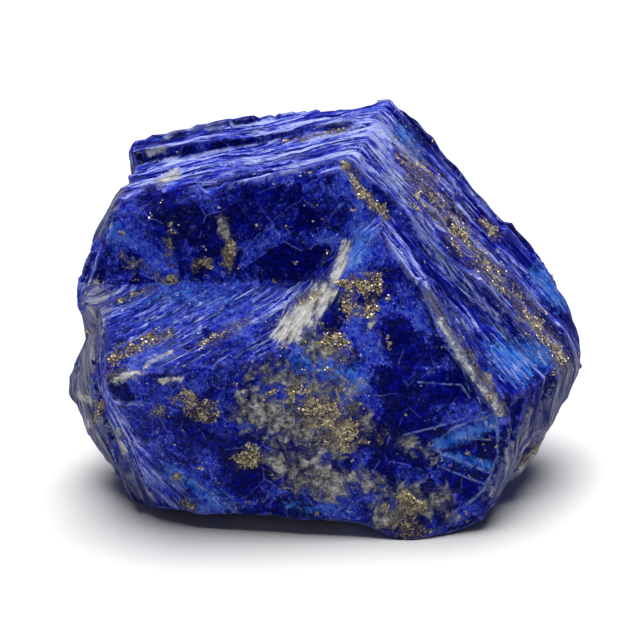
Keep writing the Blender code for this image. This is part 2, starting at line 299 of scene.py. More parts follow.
# Each marking is a list of strokes: a path in the photograph's pixels, its half width, and how
# strong it is
MARKINGS = {
    "calcite": [
        ([(262, 412), (300, 425), (330, 440)], 32, 1.0),
        ([(268, 372), (300, 380), (345, 392)], 22, 0.75),
        ([(300, 470), (335, 485)], 26, 1.0),
        ([(275, 462)], 14, 1.0),
        ([(385, 520), (410, 500), (440, 505)], 24, 0.8),
        ([(308, 335), (318, 350)], 18, 1.0),
        ([(350, 400), (366, 430)], 14, 0.7),
        ([(222, 222), (230, 245), (228, 262)], 8, 0.9),
        ([(170, 226), (168, 262)], 7, 0.5),
        ([(360, 475), (378, 490)], 14, 0.7),
        ([(160, 278), (130, 262)], 8, 0.6),
        ([(370, 322)], 12, 0.6),
        ([(486, 378), (500, 408)], 8, 0.8),
        ([(430, 455), (400, 440)], 10, 0.7),
    ],
    "cream": [
        ([(286, 334), (302, 314), (326, 292)], 18, 1.0),
        ([(326, 292), (340, 268), (347, 244)], 9, 0.85),
        ([(115, 380), (135, 372)], 8, 0.7),
        ([(162, 381), (180, 379)], 6, 0.7),
        ([(150, 152), (164, 149)], 7, 0.85),
        ([(160, 182), (178, 174)], 7, 0.85),
        ([(440, 322), (462, 360), (482, 386), (502, 413)], 8, 0.62),
        ([(86, 424)], 8, 0.8),
        ([(117, 430), (124, 452)], 6, 0.7),
        ([(520, 470), (545, 440)], 7, 0.7),
        ([(80, 395), (92, 402)], 8, 0.7),
        ([(135, 378), (150, 362), (172, 350)], 6, 0.6),
    ],
    "pyrite": [
        ([(350, 290), (372, 284)], 14, 0.95),
        ([(350, 312), (370, 310)], 11, 0.9),
        ([(334, 340), (342, 356)], 15, 1.0),
        ([(318, 408), (345, 428)], 25, 1.0),
        ([(298, 392)], 13, 1.0),
        ([(339, 448)], 12, 0.9),
        ([(404, 505), (414, 535)], 19, 0.9),
        ([(184, 402), (208, 412)], 15, 0.9),
        ([(160, 414)], 12, 0.8),
        ([(243, 460), (256, 452)], 12, 0.9),
        ([(176, 478)], 8, 0.8),
        ([(182, 505), (192, 507)], 8, 0.8),
        ([(112, 358), (142, 345), (168, 334)], 11, 0.75),
        ([(226, 331), (247, 321)], 8, 0.7),
        ([(200, 344), (218, 336)], 7, 0.7),
        ([(120, 301), (152, 289)], 8, 0.7),
        ([(236, 326), (222, 334)], 7, 0.7),
        ([(108, 378), (124, 370)], 8, 0.7),
        ([(232, 240), (230, 262)], 10, 0.8),
        ([(172, 222), (168, 250)], 8, 0.7),
        ([(124, 255)], 7, 0.7),
        ([(196, 266), (205, 262)], 8, 0.7),
        ([(164, 281), (174, 280)], 7, 0.8),
        ([(285, 141), (345, 131)], 5, 0.7),
        ([(346, 166), (362, 192), (384, 216)], 8, 0.9),
        ([(406, 158), (430, 196), (462, 236)], 24, 0.70),
        ([(462, 236), (498, 280), (528, 316)], 19, 0.68),
        ([(528, 316), (562, 360)], 17, 0.78),
        ([(484, 222), (494, 236)], 8, 0.8),
        ([(300, 302), (318, 292)], 7, 0.8),
        ([(468, 352), (482, 380)], 6, 0.6),
        ([(520, 462), (540, 445)], 9, 0.6),
        ([(100, 405), (96, 418)], 8, 0.7),
        ([(386, 428), (380, 440)], 8, 0.6),
        ([(430, 372)], 5, 0.5),
    ],
    "deep_and_shadow": [
        ([(400, 385), (452, 388)], 24, 1.0),
        ([(412, 415)], 26, 1.0),
        ([(189, 445)], 24, 1.0),
        ([(246, 484)], 20, 1.0),
        ([(244, 205), (330, 212)], 26, 1.0),
        ([(280, 262), (315, 268)], 20, 0.9),
        ([(400, 345), (428, 352)], 26, 0.9),
        ([(450, 480), (478, 492)], 14, 1.0),
        ([(462, 448), (484, 442)], 9, 0.8),
        ([(385, 465)], 14, 0.7),
        ([(150, 190), (170, 205)], 12, 0.7),
        # Painted shadow: the dark recess below the end of the right slope
        ([(505, 432)], 8, 1.0),
    ],
    "azure": [
        ([(508, 360), (540, 352)], 22, 1.0),
        ([(520, 372), (500, 350)], 18, 1.0),
        ([(366, 232), (352, 262)], 13, 0.9),
        ([(110, 222), (120, 240)], 13, 0.5),
        ([(440, 444), (492, 424)], 9, 1.0),
        ([(446, 455), (490, 466)], 7, 0.9),
        ([(540, 275), (560, 300)], 14, 0.9),
        ([(400, 130), (418, 155)], 10, 0.8),
        ([(130, 300), (180, 292), (230, 300)], 14, 0.4),
        ([(300, 360), (360, 380)], 18, 0.6),
        ([(170, 470), (230, 508)], 12, 0.6),
        ([(290, 505), (350, 510)], 10, 0.5),
    ],
    "pale": [
        ([(378, 152), (398, 184), (410, 216), (427, 239), (450, 274)], 9, 1.0),
        ([(386, 170), (402, 196)], 8, 0.9),
        ([(455, 268), (505, 335)], 7, 0.7),
        ([(497, 251), (526, 286), (543, 309)], 4, 0.8),
        ([(508, 372), (524, 362)], 9, 0.9),
        ([(428, 296), (450, 340), (468, 368)], 6, 1.3),
        ([(440, 300), (470, 330)], 8, 0.5),
    ],
    "bloom": [
        ([(150, 160), (250, 142), (360, 128)], 60, 1.3),
        ([(160, 190), (300, 175)], 22, 1.1),
        ([(400, 160), (440, 220), (500, 300)], 46, 0.75),
        ([(130, 320), (290, 310)], 30, 0.6),
        ([(120, 400), (150, 490)], 30, 1.3),
        ([(380, 232), (430, 310)], 20, 1.0),
    ],
    "busy": [
        ([(105, 235), (165, 250), (235, 240)], 34, 0.6),
        ([(180, 215), (205, 220)], 24, 0.8),
        ([(255, 238), (330, 240)], 20, 0.9),
        ([(335, 190), (350, 225)], 18, 0.8),
        ([(190, 395), (250, 392)], 22, 0.9),
        ([(220, 440), (240, 430)], 18, 0.8),
        ([(150, 470), (200, 500), (300, 505)], 22, 0.9),
        ([(365, 340), (380, 370), (372, 400)], 22, 1.0),
        ([(420, 325), (440, 340)], 18, 0.8),
        ([(350, 460), (400, 480), (440, 470)], 20, 0.8),
        ([(435, 520), (460, 505)], 16, 0.9),
        ([(395, 265), (400, 290)], 14, 0.8),
        ([(430, 240), (472, 292), (500, 330)], 24, 1.3),
    ],
    "layered": [
        ([(98, 296), (86, 345), (78, 395), (104, 452), (140, 500)], 19, 1.0),
        ([(128, 168), (118, 190), (100, 232)], 9, 1.0),
        ([(505, 490), (528, 445), (556, 410), (584, 368)], 26, 1.0),
        ([(428, 292), (455, 343), (480, 384), (502, 412)], 8, 1.0),
    ],
}

# Healed cracks that outline the facets at the lower right, and their half widths
SEAMS = [
    ([(424, 452), (456, 427), (497, 414)], 1.0),
    ([(430, 448), (490, 473)], 0.9),
    ([(438, 466), (484, 484)], 0.7),
    ([(452, 438), (492, 440)], 0.6),
    ([(497, 416), (498, 456), (490, 476), (484, 490), (467, 505)], 1.1),
    ([(418, 382), (461, 385), (470, 398)], 0.7),
    ([(404, 435), (432, 428), (463, 419)], 0.7),
    ([(444, 346), (462, 366), (470, 392)], 0.7),
]


# The same kinds of mark by chance, on the faces that the photograph doesn't show: how far apart
# they are, a seed, where in the noise they begin and are full, and how strong they are at most
CHANCE = {
    "calcite": (13.0, 51, 0.30, 0.95, 0.90),
    "cream": (7.0, 52, 0.60, 1.10, 0.75),
    "pyrite": (9.0, 53, 0.30, 1.00, 1.00),
    "deep_and_shadow": (12.0, 54, 0.25, 0.70, 1.00),
    "azure": (14.0, 55, 0.40, 1.00, 0.65),
    "pale": (10.0, 56, 0.45, 0.90, 1.00),
    "layered": (15.0, 57, 0.25, 0.85, 0.80),
    "bloom": (16.0, 58, -0.30, 0.40, 1.00),
    "busy": (11.0, 59, -0.10, 0.50, 1.00),
}


def marking(name, places, points, seen):
    """The photograph's marks where they are seen, and the same kind of marks by chance elsewhere."""
    shown = np.zeros(len(points))
    for path, width, strength in MARKINGS[name]:
        shown = np.maximum(shown, strength * stroke(places, path, width * 1.25))
    size, seed, low, high, most = CHANCE[name]
    wild = ripple(points, size, seed) + 0.5 * ripple(points, size / 2.5, seed + 100)
    wild = wild + 0.3 * ripple(points, size / 6.0, seed + 200)
    return seen * shown + (1.0 - seen) * most * soft_step(wild, low, high)


# The stone's shape, step by step

def unit(vectors):
    """Each row made one long."""
    return vectors / np.maximum(np.linalg.norm(vectors, axis=1, keepdims=True), 1e-6)


def worn_shape(points, ends, sharp):
    """The stone without facets, spikes or the thin fin."""
    points = despike(relax(points, ends, sharp, RELAX_ROUNDS), ends)
    worn = smooth_field(points, ends, FIN_ROUNDS)
    from_fin = np.linalg.norm(points + SHIFT - THIN_FIN, axis=1)
    near_fin = 1.0 - soft_step(from_fin, FIN_CORE, FIN_REACH)
    return points + (worn - points) * near_fin[:, None]


def ledge_share(points, facing):
    """1 on the ledge at the left front, 0 elsewhere."""
    x, y, z = (points + SHIFT).T
    return (
        soft_step(facing[:, 2], 0.35, 0.5)
        * (1 - soft_step(y, *LEDGE_BACK))
        * (1 - soft_step(x, *LEDGE_RIGHT))
        * (1 - soft_step(z, *LEDGE_TOP))
    )


def sheet_frame(points, on_ledge):
    """Each point's two coordinates along the sheets, and its depth through them."""
    side = np.cross(SHEET_NORMAL, UP)
    side = side / np.linalg.norm(side)
    rise = np.cross(side, SHEET_NORMAL)
    shown = points + SHIFT
    depth = np.where(on_ledge > 0.5, shown @ LEDGE_NORMAL + LEDGE_OFFSET, shown @ SHEET_NORMAL)
    depth = depth + 1.3 * ripple(points, 26.0, 3) + 0.5 * ripple(points, 9.0, 4)
    return np.column_stack([shown @ side, shown @ rise]), depth


def seam_share(places, seen):
    """1 on the healed cracks, 0 away from them."""
    share = np.zeros(len(places))
    for path, width in SEAMS:
        share = np.maximum(share, seen * soft_step(stroke(places, path, 2.0 * width), 0.0, 0.8))
    return share


def fine_relief(points, facing, along, depth, across, marks, seams):
    """Moves the points: thin sheet edges across the sheets, low lumps and pits along them."""
    sideways = unit(facing - np.outer(facing @ SHEET_NORMAL, SHEET_NORMAL))
    thin_steps = ledges(depth + 0.2 * ripple(points, 3.0, 6), along, *THIN_SHEETS, 61)
    hair_steps = ledges(depth + 0.1 * ripple(points, 2.0, 7), along, *HAIR_SHEETS, 62)
    lumps = ripple(points, 2.6, 63) + 0.6 * ripple(points, 1.3, 64)
    rough = LUMP
    for name, more in MORE_LUMPS.items():
        rough = rough + more * marks[name]
    rough = rough * (1.0 - 0.6 * marks["deep_and_shadow"])
    move = sideways * (across * (THIN_STEP * thin_steps + HAIR_STEP * hair_steps))[:, None]
    out = rough * lumps + GRIT * ripple(points, 0.8, 65) - SEAM_GROOVE * seams
    move += facing * out[:, None]
    off_floor = soft_step(points[:, 2], *FLOOR_CLEAR)
    return points + move * off_floor[:, None]


def corner_height(points, facing, ends):
    """How far a point stands proud of what is round it: above 0 on corners, below in creases."""
    blur = smooth_field(points, ends, CORNER_ROUNDS)
    height = ((points - blur) * facing).sum(axis=1) / CORNER_HEIGHT
    return smooth_field(height[:, None], ends, 1)[:, 0]


def streak_space(places, seen, along, depth, pocket):
    """Coordinates for the streaks: two that change slowly along them, and one across them."""
    space = np.column_stack([along, depth])
    # The flake's fibres run down its length
    on_flake = stroke(places, FLAKE, FLAKE_REACH) * seen > 0.0
    run = (FLAKE[1] - FLAKE[0]) / np.linalg.norm(FLAKE[1] - FLAKE[0])
    beside = (places - FLAKE[0]) @ np.array([-run[1], run[0]])
    lengthwise = np.column_stack([(places - FLAKE[0]) @ run] * 2 + [1.8 * beside]) * PIXEL
    space = np.where(on_flake[:, None], lengthwise, space)
    # The slope's hollow lies along the sheets, and its streaks still run down the slope
    down_slope = np.column_stack([along @ (0.6, 0.8)] * 2 + [along @ (-0.8, 0.6) + 0.3 * depth])
    return np.where(pocket[:, None], down_slope, space)


def fibre_space(points, places, seen, along, depth, across):
    """Coordinates for the cream band's fibres, which run up it, and for threads elsewhere."""
    band = np.column_stack([
        0.22 * (points @ BAND_RUN), 1.5 * (points @ BAND_SIDE),
        1.5 * (points @ np.cross(BAND_RUN, BAND_SIDE)),
    ])
    band_end = stroke(places, CREAM_BAND, BAND_REACH) * seen > 0.0
    elsewhere = np.column_stack([0.25 * along[:, 0], 0.6 * along[:, 1], 1.6 * depth])
    elsewhere = np.where(across[:, None] > 0.4, elsewhere, 1.1 * points)
    return np.where(band_end[:, None], band, elsewhere)


def store(mesh, name, values):
    """Keeps a number or a vector for each vertex, for the material."""
    kind = "FLOAT" if values.ndim == 1 else "FLOAT_VECTOR"
    layer = mesh.attributes.new(name, kind, "POINT")
    key = "value" if values.ndim == 1 else "vector"
    layer.data.foreach_set(key, values.astype(np.float32).reshape(-1))


stone = fine_copy("lapis_lazuli", "stone_surface")
mesh = stone.data
ends, sharp = edge_table(mesh)
points = worn_shape(read_points(mesh), ends, sharp)
write_points(mesh, points)
facing = unit(smooth_field(read_normals(mesh), ends, BROAD_ROUNDS))
on_ledge = ledge_share(points, facing)
along, depth = sheet_frame(points, on_ledge)
places = pixels_of(points)
seen = seen_share(points, facing)

# 1 where a face cuts across the sheets and shows their edges, 0 where it lies along them
across = soft_step(-np.abs(facing @ SHEET_NORMAL), -0.93, -0.70)
pocket = (seen * stroke(places, SLOPE_POCKET, POCKET_REACH) > 0.0) & (across < 0.45)
across = np.where(pocket, POCKET_STREAKS, across)
marks = {name: marking(name, places, points, seen) for name in MARKINGS}
seams = seam_share(places, seen)

points = fine_relief(points, facing, along, depth, across, marks, seams)
write_points(mesh, points)
for name, values in marks.items():
    store(mesh, name, values)
store(mesh, "across", across)
store(mesh, "edge", corner_height(points, facing, ends))
store(mesh, "seams", seams)
store(mesh, "ledge", on_ledge)
store(mesh, "grain", streak_space(places, seen, along, depth, pocket))
store(mesh, "fibres", fibre_space(points, places, seen, along, depth, across))
mesh.shade_smooth()


# Materials

class Net:
    """A small helper for wiring a material's nodes."""

    def __init__(self, name):
        self.material = bpy.data.materials.new(name)
        self.material.use_nodes = True
        self.tree = self.material.node_tree
        self.surface = self.tree.nodes["Principled BSDF"]

    def add(self, kind, **settings):
        node = self.tree.nodes.new(kind)
        for key, value in settings.items():
            setattr(node, key, value)
        return node

    def put(self, socket, value):
        if isinstance(value, bpy.types.NodeSocket):
            self.tree.links.new(value, socket)
        elif socket.type == "RGBA" and len(value) == 3:
            socket.default_value = (*value, 1.0)
        else:
            socket.default_value = value

    def math(self, operation, a, b=0.0, c=0.0):
        node = self.add("ShaderNodeMath", operation=operation)
        for socket, value in zip(node.inputs, (a, b, c)):
            self.put(socket, value)
        return node.outputs[0]

    def times(self, a, b):
        return self.math("MULTIPLY", a, b)

    def centred(self, value, gain=1.0):
        """A noise of 0 to 1 turned into one about 0."""
        return self.times(self.math("SUBTRACT", value, 0.5), gain)

    def step(self, value, low, high, bottom=0.0, top=1.0):
        node = self.add("ShaderNodeMapRange", interpolation_type="SMOOTHSTEP")
        for key, entry in (
            ("Value", value), ("From Min", low), ("From Max", high),
            ("To Min", bottom), ("To Max", top),
        ):
            self.put(node.inputs[key], entry)
        return node.outputs[0]

    def mix(self, share, a, b):
        node = self.add("ShaderNodeMix", data_type="RGBA")
        self.put(node.inputs[0], share)
        self.put(node.inputs[6], a)
        self.put(node.inputs[7], b)
        return node.outputs[2]

    def scaled(self, vector, scale):
        node = self.add("ShaderNodeVectorMath", operation="MULTIPLY")
        self.put(node.inputs[0], vector)
        node.inputs[1].default_value = scale
        return node.outputs[0]

    def millimetres(self):
        """The object's own coordinates."""
        place = self.add("ShaderNodeTexCoord").outputs["Object"]
        return self.scaled(place, (1 / MM, 1 / MM, 1 / MM))

    def noise_node(self, vector, scale, detail, roughness, distortion=0.0):
        node = self.add("ShaderNodeTexNoise")
        self.put(node.inputs["Vector"], vector)
        node.inputs["Scale"].default_value = scale
        node.inputs["Detail"].default_value = detail
        node.inputs["Roughness"].default_value = roughness
        node.inputs["Distortion"].default_value = distortion
        return node

    def noise(self, vector, scale, detail, roughness, distortion=0.0):
        return self.noise_node(vector, scale, detail, roughness, distortion).outputs["Fac"]

    def cells(self, vector, scale, feature="F1"):
        node = self.add("ShaderNodeTexVoronoi", feature=feature)
        self.put(node.inputs["Vector"], vector)
        node.inputs["Scale"].default_value = scale
        return node

    def read(self, name, output="Fac"):
        node = self.add("ShaderNodeAttribute", attribute_type="GEOMETRY", attribute_name=name)
        return node.outputs[output]

    def ramp(self, value, stops):
        node = self.add("ShaderNodeValToRGB")
        elements = node.color_ramp.elements
        while len(elements) < len(stops):
            elements.new(0.5)
        for element, (place, colour) in zip(elements, stops):
            element.position = place
            element.color = (*colour, 1.0)
        self.put(node.inputs[0], value)
        return node.outputs[0]


BLACK_BLUE = (0.0002, 0.0003, 0.060)
NAVY = (0.0004, 0.0008, 0.125)
ROYAL = (0.0010, 0.0022, 0.27)
ULTRAMARINE = (0.008, 0.016, 0.46)
COBALT = (0.032, 0.070, 0.62)
MILKY = (0.11, 0.18, 0.60)
LILAC = (0.17, 0.19, 0.80)
GLINT = (0.46, 0.52, 0.97)
AZURE = (0.010, 0.10, 0.68)
SKY = (0.09, 0.30, 0.92)
PALE = (0.55, 0.66, 0.97)
HAZE = (0.085, 0.135, 0.44)
SUGAR = (0.10, 0.17, 0.55)
SEAM_BLUE = (0.20, 0.30, 0.72)
DUSK = (0.16, 0.18, 0.30)
SLATE = (0.030, 0.042, 0.15)
GREY = (0.12, 0.12, 0.14)
BROWN = (0.060, 0.048, 0.035)
BRASS = (0.45, 0.385, 0.26)

FLAT_TONES = [
    (0.38, BLACK_BLUE), (0.47, NAVY), (0.55, ROYAL), (0.64, ULTRAMARINE), (0.73, COBALT),
    (0.86, MILKY),
]
STREAK_TONES = [
    (0.34, NAVY), (0.43, ROYAL), (0.52, ULTRAMARINE), (0.60, COBALT), (0.70, LILAC), (0.82, GLINT),
]
LAYER_TONES = [
    (0.36, NAVY), (0.43, (0.03, 0.04, 0.14)), (0.50, (0.13, 0.14, 0.25)),
    (0.58, (0.34, 0.34, 0.42)), (0.68, (0.66, 0.66, 0.68)),
]
CALCITE_TONES = [
    (0.38, (0.006, 0.009, 0.050)), (0.45, (0.07, 0.07, 0.075)), (0.52, (0.24, 0.235, 0.22)),
    (0.60, (0.46, 0.45, 0.42)), (0.70, (0.78, 0.765, 0.74)),
]
CREAM_TONES = [
    (0.38, (0.045, 0.045, 0.07)), (0.45, (0.30, 0.29, 0.28)), (0.52, (0.62, 0.61, 0.59)),
    (0.64, (0.88, 0.87, 0.85)),
]
PYRITE_TONES = [(0.3, (0.16, 0.12, 0.07)), (0.5, BRASS), (0.75, (0.74, 0.67, 0.50))]

# How noise is stretched: two numbers along the streaks, and one across them
BROAD_STREAKS = (0.07, 0.07, 0.75)
FINE_STREAKS = (0.15, 0.15, 1.5)
HAIRS = (0.20, 0.20, 2.7)
CALM_PATCHES = (0.10, 0.10, 0.30)
STREAK_GLINTS = (0.9, 0.9, 2.2)
POWDER = (0.9, 0.9, 2.6)
RAGGED_STREAKS = (0.22, 0.22, 3.0)
THREADS = (0.26, 0.26, 4.6)
LAYERS = (0.10, 0.10, 1.9)
SHEET_EDGES = (0.35, 0.35, 5.0)


class StonePaint(Net):
    """The stone's material: flat faces, streaked faces, wear, and then the marks."""

    def __init__(self):
        super().__init__("lapis")
        self.place = self.millimetres()
        self.grain = self.read("grain", "Vector")
        self.across = self.read("across")
        self.bloom = self.read("bloom")
        self.ledge = self.read("ledge")
        self.mottle = self.noise(self.place, 0.90, 6.0, 0.74, 0.3)
        self.ragged = self.noise(self.place, 0.50, 7.0, 0.70, 0.6)
        self.crumbly = self.noise(self.place, 1.3, 5.0, 0.72, 0.4)
        self.streaky = self.streaks(RAGGED_STREAKS, 5.0, 0.72, 0.5)
        self.thready = self.streaks(THREADS, 5.0, 0.74, 0.5)
        self.calm = self.step(self.streaks(CALM_PATCHES, 4.0, 0.6, 0.8), 0.40, 0.56)

    def streaks(self, stretch, detail, roughness, distortion=0.0):
        return self.noise(self.scaled(self.grain, stretch), 1.0, detail, roughness, distortion)

    def marked(self, name, reach, low, high, noise=None):
        """A zone broken up by noise: reach is how much a full mark outweighs the noise."""
        if noise is None:
            noise = self.ragged
        share = self.read(name)
        value = self.math("ADD", self.times(share, reach), self.centred(noise))
        return self.times(self.step(value, low, high), self.step(share, 0.0, 0.15))

    def plates(self):
        """Polygons a few millimetres wide: a tone for each, and the healed cracks between them."""
        warp = self.noise_node(self.place, 0.30, 3.0, 0.5).outputs["Color"]
        shifted = self.add("ShaderNodeVectorMath", operation="MULTIPLY_ADD")
        self.put(shifted.inputs[0], warp)
        shifted.inputs[1].default_value = (1.8, 1.8, 1.8)
        self.put(shifted.inputs[2], self.place)
        tone = self.add("ShaderNodeSeparateColor")
        self.put(tone.inputs[0], self.cells(shifted.outputs[0], 0.14).outputs["Color"])
        gap = self.cells(shifted.outputs[0], 0.14, "DISTANCE_TO_EDGE").outputs["Distance"]
        broken = self.step(self.noise(self.place, 0.45, 4.0, 0.6), 0.46, 0.58)
        return tone.outputs[0], self.times(self.step(gap, 0.018, 0.004), broken)

    def flats(self):
        """Faces along the sheets: navy polygons between healed cracks, mottled with paler grains."""
        plate_tone, self.cracks = self.plates()
        tone = self.math("ADD", self.noise(self.place, 0.15, 4.0, 0.55, 0.8),
                         self.centred(plate_tone, 0.22))
        tone = self.math("MULTIPLY_ADD", self.read("busy"), 0.09, tone)
        tone = self.math("MULTIPLY_ADD", self.ledge, 0.10, tone)
        busy = self.step(tone, 0.44, 0.60)
        colour = self.ramp(self.math("ADD", tone, self.centred(self.mottle)), FLAT_TONES)
        sugar = self.step(self.noise(self.place, 1.8, 4.0, 0.72), 0.53, 0.66)
        self.sugar = self.times(sugar, self.step(busy, 0.0, 1.0, 0.14, 0.85))
        colour = self.mix(self.times(self.sugar, 0.8), colour, SUGAR)
        upright = self.scaled(self.place, (1.5, 1.5, 0.5))
        wisps = self.math("ABSOLUTE", self.centred(self.noise(upright, 0.9, 6.0, 0.74, 0.3)))
        wisps = self.times(self.step(wisps, 0.040, 0.002), self.step(busy, 0.0, 1.0, 0.05, 0.50))
        colour = self.mix(wisps, colour, HAZE)
        colour = self.mix(self.times(self.cracks, 0.5), colour, LILAC)
        sparks = self.step(self.noise(self.place, 2.3, 3.0, 0.65), 0.62, 0.70)
        sparks = self.times(sparks, self.step(busy, 0.0, 1.0, 0.15, 0.8))
        return self.mix(sparks, colour, GLINT)

    def cut_sheets(self):
        """Faces across the sheets: streaks, some broad and dark, some hair-thin and pale."""
        broad = self.streaks(BROAD_STREAKS, 4.0, 0.60, 0.6)
        fine = self.streaks(FINE_STREAKS, 6.0, 0.72, 0.4)
        lift = self.math("MULTIPLY_ADD", self.bloom, 0.18, -0.110)
        lift = self.math("MULTIPLY_ADD", self.ledge, -0.05, lift)
        broad_gain = self.math("MULTIPLY_ADD", self.ledge, -0.4, 1.3)
        fine_gain = self.math("MULTIPLY_ADD", self.ledge, 0.9, 2.1)
        tone = self.math("ADD", self.times(self.centred(broad), broad_gain),
                         self.times(self.centred(fine), fine_gain))
        tone = self.times(tone, self.step(self.calm, 0.0, 1.0, 0.65, 1.0))
        tone = self.times(tone, self.math("MULTIPLY_ADD", self.bloom, 0.30, 1.0))
        tone = self.math("ADD", tone, self.centred(self.mottle, 0.75))
        tone = self.math("ADD", self.math("ADD", tone, 0.5), lift)
        colour = self.ramp(tone, STREAK_TONES)
        hairs = self.math("MULTIPLY_ADD", self.bloom, 0.045, self.streaks(HAIRS, 5.0, 0.72, 0.7))
        hairs = self.times(self.step(hairs, 0.575, 0.615), self.step(broad, 0.40, 0.58, 0.12, 1.0))
        hairs = self.times(hairs, self.step(self.calm, 0.0, 1.0, 0.35, 1.0))
        colour = self.mix(hairs, colour, PALE)
        glints = self.step(self.streaks(STREAK_GLINTS, 3.0, 0.65), 0.63, 0.69)
        colour = self.mix(self.times(glints, self.calm), colour, PALE)
        powder = self.step(self.streaks(POWDER, 5.0, 0.72), 0.50, 0.64)
        return self.mix(self.times(self.times(powder, self.ledge), 0.75), colour, HAZE)

    def blues(self):
        """Both kinds of face, with corners paler as a painted highlight and creases darker as painted
        shade.
        """
        speckled = self.times(self.ledge, self.step(self.calm, 0.0, 1.0, 0.85, 0.15))
        streaked = self.times(self.across, self.math("SUBTRACT", 1.0, speckled))
        colour = self.mix(streaked, self.flats(), self.cut_sheets())
        edge = self.read("edge")
        patchy = self.step(self.mottle, 0.40, 0.60, 0.1, 0.8)
        # Painted highlight: corners that stand proud are made paler lilac, in patches
        colour = self.mix(self.times(self.step(edge, 0.08, 0.45), patchy), colour, LILAC)
        # Painted shade: creases are darkened towards black-blue
        return self.mix(self.step(edge, -0.08, -0.45, 0.0, 0.8), colour, BLACK_BLUE)

    def blue_marks(self, colour):
        """Deep polygons and a painted shadow in one recess, azure patches, pale scratches and the worn
        seams.
        """
        deep_tone = self.mix(self.step(self.mottle, 0.45, 0.62), BLACK_BLUE, ROYAL)
        veins = self.math("MAXIMUM", self.cracks, self.sugar)
        deep_tone = self.mix(self.times(veins, 0.35), deep_tone, HAZE)
        # The deep marks are the stone's own navy, except in one recess, where they are a painted
        # shadow
        colour = self.mix(self.times(self.marked("deep_and_shadow", 0.40, 0.12, 0.20), 0.88), colour, deep_tone)
        azure = self.marked("azure", 0.36, 0.06, 0.34, self.crumbly)
        azure_tone = self.mix(self.step(self.streaky, 0.42, 0.58), AZURE, SKY)
        azure_tone = self.mix(self.step(self.thready, 0.56, 0.62), azure_tone, PALE)
        colour = self.mix(self.times(azure, 0.82), colour, azure_tone)
        pale = self.times(self.marked("pale", 0.17, 0.13, 0.18, self.thready), self.across)
        colour = self.mix(self.times(pale, 0.72), colour, self.mix(azure, PALE, GLINT))
        worn = self.times(self.read("seams"), self.step(self.crumbly, 0.42, 0.54, 0.1, 0.85))
        return self.mix(worn, colour, SEAM_BLUE)

    def layered_marks(self, colour):
        """Greyish-lilac flanks where thin layers come to the surface."""
        layers = self.ramp(self.streaks(LAYERS, 6.0, 0.72, 0.4), LAYER_TONES)
        share = self.marked("layered", 0.36, 0.12, 0.22, self.crumbly)
        return self.mix(self.times(share, 0.88), colour, layers)

    def calcite_marks(self, colour):
        """Grey clouds with paler grains, and a few brown flecks."""
        clouds = self.centred(self.noise(self.place, 0.38, 3.0, 0.5), 0.35)
        self.calcite_tone = self.math("ADD", self.noise(self.place, 1.0, 7.0, 0.80, 0.3), clouds)
        dim = self.mix(self.step(self.noise(self.place, 0.40, 3.0, 0.5), 0.42, 0.58), SLATE, GREY)
        veil = self.marked("calcite", 0.40, 0.08, 0.22)
        colour = self.mix(self.times(veil, 0.60), colour, dim)
        share = self.marked("calcite", 0.28, 0.10, 0.22)
        colour = self.mix(self.times(share, 0.92), colour, self.ramp(self.calcite_tone, CALCITE_TONES))
        flecks = self.times(self.step(self.noise(self.place, 2.2, 3.0, 0.6), 0.60, 0.68), veil)
        return self.mix(self.times(flecks, 0.7), colour, BROWN)

    def cream_marks(self, colour):
        """Fibrous cream bands with a dusky rim."""
        thread = self.noise(self.read("fibres", "Vector"), 1.0, 6.0, 0.72, 0.4)
        rim = self.marked("cream", 0.60, 0.10, 0.50, thread)
        colour = self.mix(self.times(rim, 0.7), colour, DUSK)
        share = self.marked("cream", 0.42, 0.15, 0.30, self.mix(0.4, thread, self.ragged))
        tone = self.math("ADD", self.times(thread, 0.6), self.times(self.calcite_tone, 0.4))
        return self.mix(share, colour, self.ramp(tone, CREAM_TONES))

    def pyrite_marks(self, colour):
        """Brown, broken ground with small bright grains; also says where the grains are."""
        ground = self.marked("pyrite", 0.34, 0.10, 0.20,
                             self.mix(self.across, self.ragged, self.streaky))
        patchy = self.step(self.noise(self.place, 1.2, 3.0, 0.6), 0.42, 0.56)
        grains = self.step(self.cells(self.place, 3.6).outputs["Distance"], 0.46, 0.32)
        grains = self.times(self.times(grains, ground), patchy)
        colour = self.mix(self.times(ground, 0.62), colour, BROWN)
        return self.mix(grains, colour, BRASS), grains

    def fine_bumps(self):
        """Grains, and hair-thin sheet edges."""
        grains = self.noise(self.place, 2.4, 6.0, 0.72)
        edges = self.times(self.streaks(SHEET_EDGES, 5.0, 0.70), self.across)
        bump = self.add("ShaderNodeBump")
        bump.inputs["Strength"].default_value = 0.9
        bump.inputs["Distance"].default_value = 0.00045
        height = self.math("ADD", self.times(grains, 0.7), self.times(edges, 1.3))
        self.put(bump.inputs["Height"], height)
        return bump.outputs[0]


def stone_material():
    paint = StonePaint()
    colour = paint.blues()
    for marks_of in (paint.blue_marks, paint.layered_marks, paint.calcite_marks, paint.cream_marks):
        colour = marks_of(colour)
    colour, grains = paint.pyrite_marks(colour)
    surface = paint.surface.inputs
    paint.put(surface["Base Color"], colour)
    paint.put(surface["Metallic"], paint.times(grains, 0.9))
    gloss = paint.noise(paint.place, 1.8, 3.0, 0.6)
    paint.put(surface["Roughness"], paint.step(gloss, 0.3, 0.7, 0.26, 0.50))
    surface["Specular IOR Level"].default_value = 0.12
    surface["Specular Tint"].default_value = (0.06, 0.12, 1.0, 1.0)
    paint.put(surface["Normal"], paint.fine_bumps())
    return paint.material


